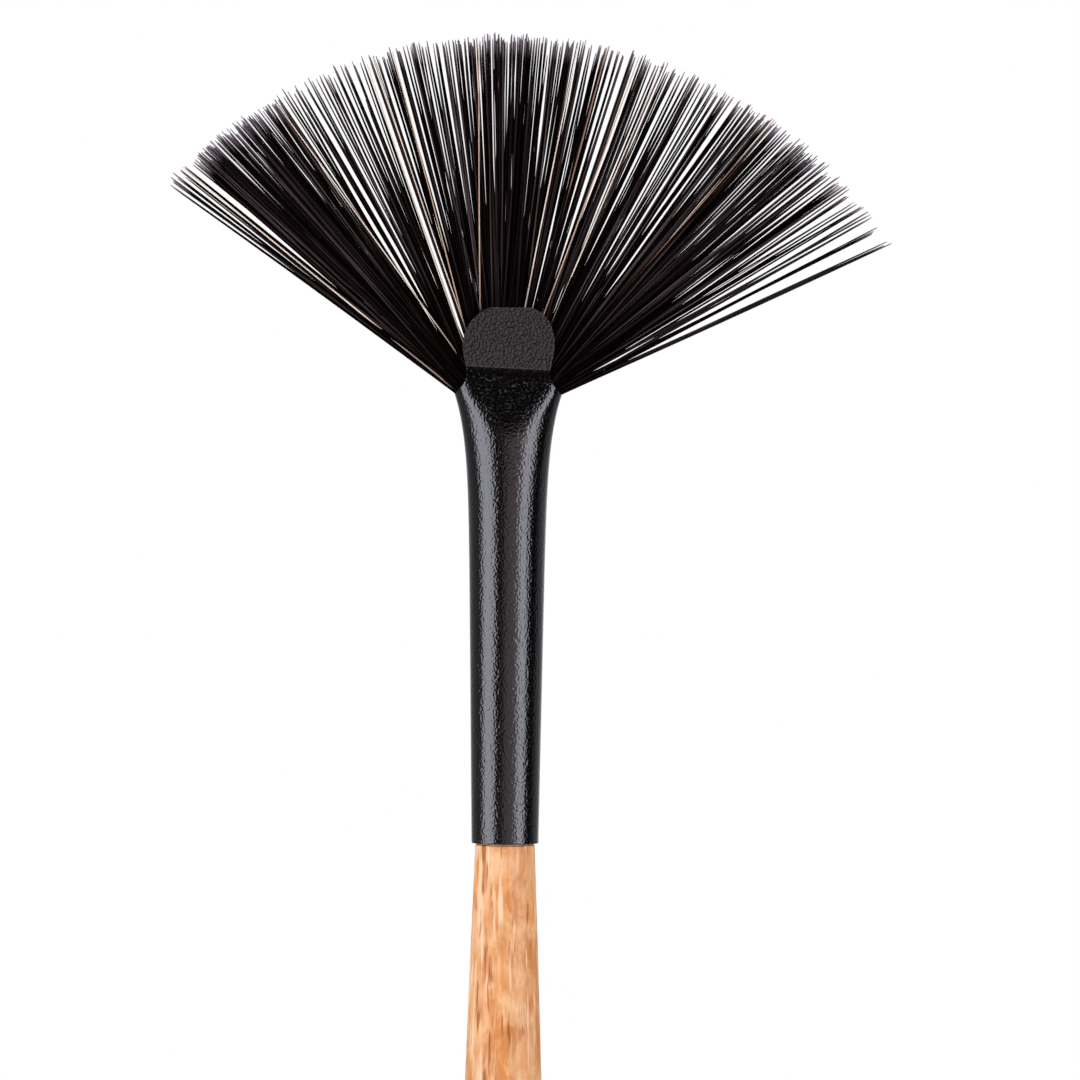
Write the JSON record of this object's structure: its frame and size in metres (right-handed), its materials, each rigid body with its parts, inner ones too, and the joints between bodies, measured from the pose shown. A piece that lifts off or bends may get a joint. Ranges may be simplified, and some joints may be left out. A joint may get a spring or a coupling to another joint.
{
  "type": "fan paint brush",
  "caption": "Fan paint brush: slim turned wooden handle, black metal ferrule pressed flat with D-shaped tabs front and back, and a thin springy fan of dark hair.",
  "frame": {"origin": "centre of the flat end of the handle", "axes": "+Z along the handle towards the hair; the fan lies in the XZ plane; the front tab faces -Y"},
  "size_m": [0.0639, 0.008, 0.2025],
  "materials": {
    "beech": "satin",
    "black_coat": "satin",
    "glue": "gloss",
    "resin": "gloss",
    "thread": "matte",
    "hair": "satin"
  },
  "bodies": {
    "root": {"handle": "beech", "ferrule": "black_coat", "handle_glue": "glue", "resin_plug": "resin", "binding_thread": "thread", "hair_root": "hair"},
    "hair_lock_01": {"hair_lock_01": "hair"},
    "hair_lock_02": {"hair_lock_02": "hair"},
    "hair_lock_03": {"hair_lock_03": "hair"},
    "hair_lock_04": {"hair_lock_04": "hair"},
    "hair_lock_05": {"hair_lock_05": "hair"},
    "hair_lock_06": {"hair_lock_06": "hair"},
    "hair_lock_07": {"hair_lock_07": "hair"},
    "hair_lock_08": {"hair_lock_08": "hair"},
    "hair_lock_09": {"hair_lock_09": "hair"},
    "hair_lock_10": {"hair_lock_10": "hair"},
    "hair_lock_11": {"hair_lock_11": "hair"},
    "hair_lock_12": {"hair_lock_12": "hair"},
    "hair_lock_13": {"hair_lock_13": "hair"},
    "hair_lock_14": {"hair_lock_14": "hair"},
    "hair_lock_15": {"hair_lock_15": "hair"},
    "hair_lock_16": {"hair_lock_16": "hair"},
    "hair_lock_17": {"hair_lock_17": "hair"},
    "hair_lock_18": {"hair_lock_18": "hair"},
    "hair_lock_19": {"hair_lock_19": "hair"},
    "hair_lock_20": {"hair_lock_20": "hair"},
    "hair_lock_21": {"hair_lock_21": "hair"},
    "hair_lock_22": {"hair_lock_22": "hair"},
    "hair_lock_23": {"hair_lock_23": "hair"},
    "hair_lock_24": {"hair_lock_24": "hair"}
  },
  "joints": [
    {"name": "hair_lock_01_flex", "type": "hinge", "parent": "root", "child": "hair_lock_01", "pos_m": [-0.01072, 0, 0.17528], "axis": [0.6151, 0, 0.7884], "range_deg": [-35, 35], "stiffness_Nm_per_rad": 0.00025},
    {"name": "hair_lock_02_flex", "type": "hinge", "parent": "root", "child": "hair_lock_02", "pos_m": [-0.00988, 0, 0.17607], "axis": [0.6818, 0, 0.7315], "range_deg": [-35, 35], "stiffness_Nm_per_rad": 0.00025},
    {"name": "hair_lock_03_flex", "type": "hinge", "parent": "root", "child": "hair_lock_03", "pos_m": [-0.00899, 0, 0.17675], "axis": [0.7433, 0, 0.669], "range_deg": [-35, 35], "stiffness_Nm_per_rad": 0.00025},
    {"name": "hair_lock_04_flex", "type": "hinge", "parent": "root", "child": "hair_lock_04", "pos_m": [-0.00807, 0, 0.17734], "axis": [0.799, 0, 0.6013], "range_deg": [-35, 35], "stiffness_Nm_per_rad": 0.00025},
    {"name": "hair_lock_05_flex", "type": "hinge", "parent": "root", "child": "hair_lock_05", "pos_m": [-0.00711, 0, 0.17784], "axis": [0.8486, 0, 0.529], "range_deg": [-35, 35], "stiffness_Nm_per_rad": 0.00025},
    {"name": "hair_lock_06_flex", "type": "hinge", "parent": "root", "child": "hair_lock_06", "pos_m": [-0.00611, 0, 0.17825], "axis": [0.8917, 0, 0.4526], "range_deg": [-35, 35], "stiffness_Nm_per_rad": 0.00025},
    {"name": "hair_lock_07_flex", "type": "hinge", "parent": "root", "child": "hair_lock_07", "pos_m": [-0.00509, 0, 0.17858], "axis": [0.9279, 0, 0.3728], "range_deg": [-35, 35], "stiffness_Nm_per_rad": 0.00025},
    {"name": "hair_lock_08_flex", "type": "hinge", "parent": "root", "child": "hair_lock_08", "pos_m": [-0.00405, 0, 0.17884], "axis": [0.957, 0, 0.2901], "range_deg": [-35, 35], "stiffness_Nm_per_rad": 0.00025},
    {"name": "hair_lock_09_flex", "type": "hinge", "parent": "root", "child": "hair_lock_09", "pos_m": [-0.00298, 0, 0.17902], "axis": [0.9787, 0, 0.2051], "range_deg": [-35, 35], "stiffness_Nm_per_rad": 0.00025},
    {"name": "hair_lock_10_flex", "type": "hinge", "parent": "root", "child": "hair_lock_10", "pos_m": [-0.00191, 0, 0.17914], "axis": [0.9929, 0, 0.1186], "range_deg": [-35, 35], "stiffness_Nm_per_rad": 0.00025},
    {"name": "hair_lock_11_flex", "type": "hinge", "parent": "root", "child": "hair_lock_11", "pos_m": [-0.00082, 0, 0.1792], "axis": [0.9995, 0, 0.0312], "range_deg": [-35, 35], "stiffness_Nm_per_rad": 0.00025},
    {"name": "hair_lock_12_flex", "type": "hinge", "parent": "root", "child": "hair_lock_12", "pos_m": [0.00026, 0, 0.17919], "axis": [0.9984, 0, -0.0565], "range_deg": [-35, 35], "stiffness_Nm_per_rad": 0.00025},
    {"name": "hair_lock_13_flex", "type": "hinge", "parent": "root", "child": "hair_lock_13", "pos_m": [0.00134, 0, 0.17912], "axis": [0.9896, 0, -0.1437], "range_deg": [-35, 35], "stiffness_Nm_per_rad": 0.00025},
    {"name": "hair_lock_14_flex", "type": "hinge", "parent": "root", "child": "hair_lock_14", "pos_m": [0.00241, 0, 0.17899], "axis": [0.9732, 0, -0.2298], "range_deg": [-35, 35], "stiffness_Nm_per_rad": 0.00025},
    {"name": "hair_lock_15_flex", "type": "hinge", "parent": "root", "child": "hair_lock_15", "pos_m": [0.00347, 0, 0.17879], "axis": [0.9494, 0, -0.3142], "range_deg": [-35, 35], "stiffness_Nm_per_rad": 0.00025},
    {"name": "hair_lock_16_flex", "type": "hinge", "parent": "root", "child": "hair_lock_16", "pos_m": [0.00451, 0, 0.17854], "axis": [0.9182, 0, -0.3961], "range_deg": [-35, 35], "stiffness_Nm_per_rad": 0.00025},
    {"name": "hair_lock_17_flex", "type": "hinge", "parent": "root", "child": "hair_lock_17", "pos_m": [0.00553, 0, 0.17822], "axis": [0.88, 0, -0.475], "range_deg": [-35, 35], "stiffness_Nm_per_rad": 0.00025},
    {"name": "hair_lock_18_flex", "type": "hinge", "parent": "root", "child": "hair_lock_18", "pos_m": [0.00651, 0, 0.17784], "axis": [0.835, 0, -0.5503], "range_deg": [-35, 35], "stiffness_Nm_per_rad": 0.00025},
    {"name": "hair_lock_19_flex", "type": "hinge", "parent": "root", "child": "hair_lock_19", "pos_m": [0.00746, 0, 0.17738], "axis": [0.7836, 0, -0.6213], "range_deg": [-35, 35], "stiffness_Nm_per_rad": 0.00025},
    {"name": "hair_lock_20_flex", "type": "hinge", "parent": "root", "child": "hair_lock_20", "pos_m": [0.00838, 0, 0.17686], "axis": [0.7261, 0, -0.6876], "range_deg": [-35, 35], "stiffness_Nm_per_rad": 0.00025},
    {"name": "hair_lock_21_flex", "type": "hinge", "parent": "root", "child": "hair_lock_21", "pos_m": [0.00925, 0, 0.17625], "axis": [0.6631, 0, -0.7485], "range_deg": [-35, 35], "stiffness_Nm_per_rad": 0.00025},
    {"name": "hair_lock_22_flex", "type": "hinge", "parent": "root", "child": "hair_lock_22", "pos_m": [0.01007, 0, 0.17557], "axis": [0.595, 0, -0.8037], "range_deg": [-35, 35], "stiffness_Nm_per_rad": 0.00025},
    {"name": "hair_lock_23_flex", "type": "hinge", "parent": "root", "child": "hair_lock_23", "pos_m": [0.01085, 0, 0.17479], "axis": [0.5223, 0, -0.8528], "range_deg": [-35, 35], "stiffness_Nm_per_rad": 0.00025},
    {"name": "hair_lock_24_flex", "type": "hinge", "parent": "root", "child": "hair_lock_24", "pos_m": [0.01157, 0, 0.17392], "axis": [0.4456, 0, -0.8952], "range_deg": [-35, 35], "stiffness_Nm_per_rad": 0.00025}
  ]
}
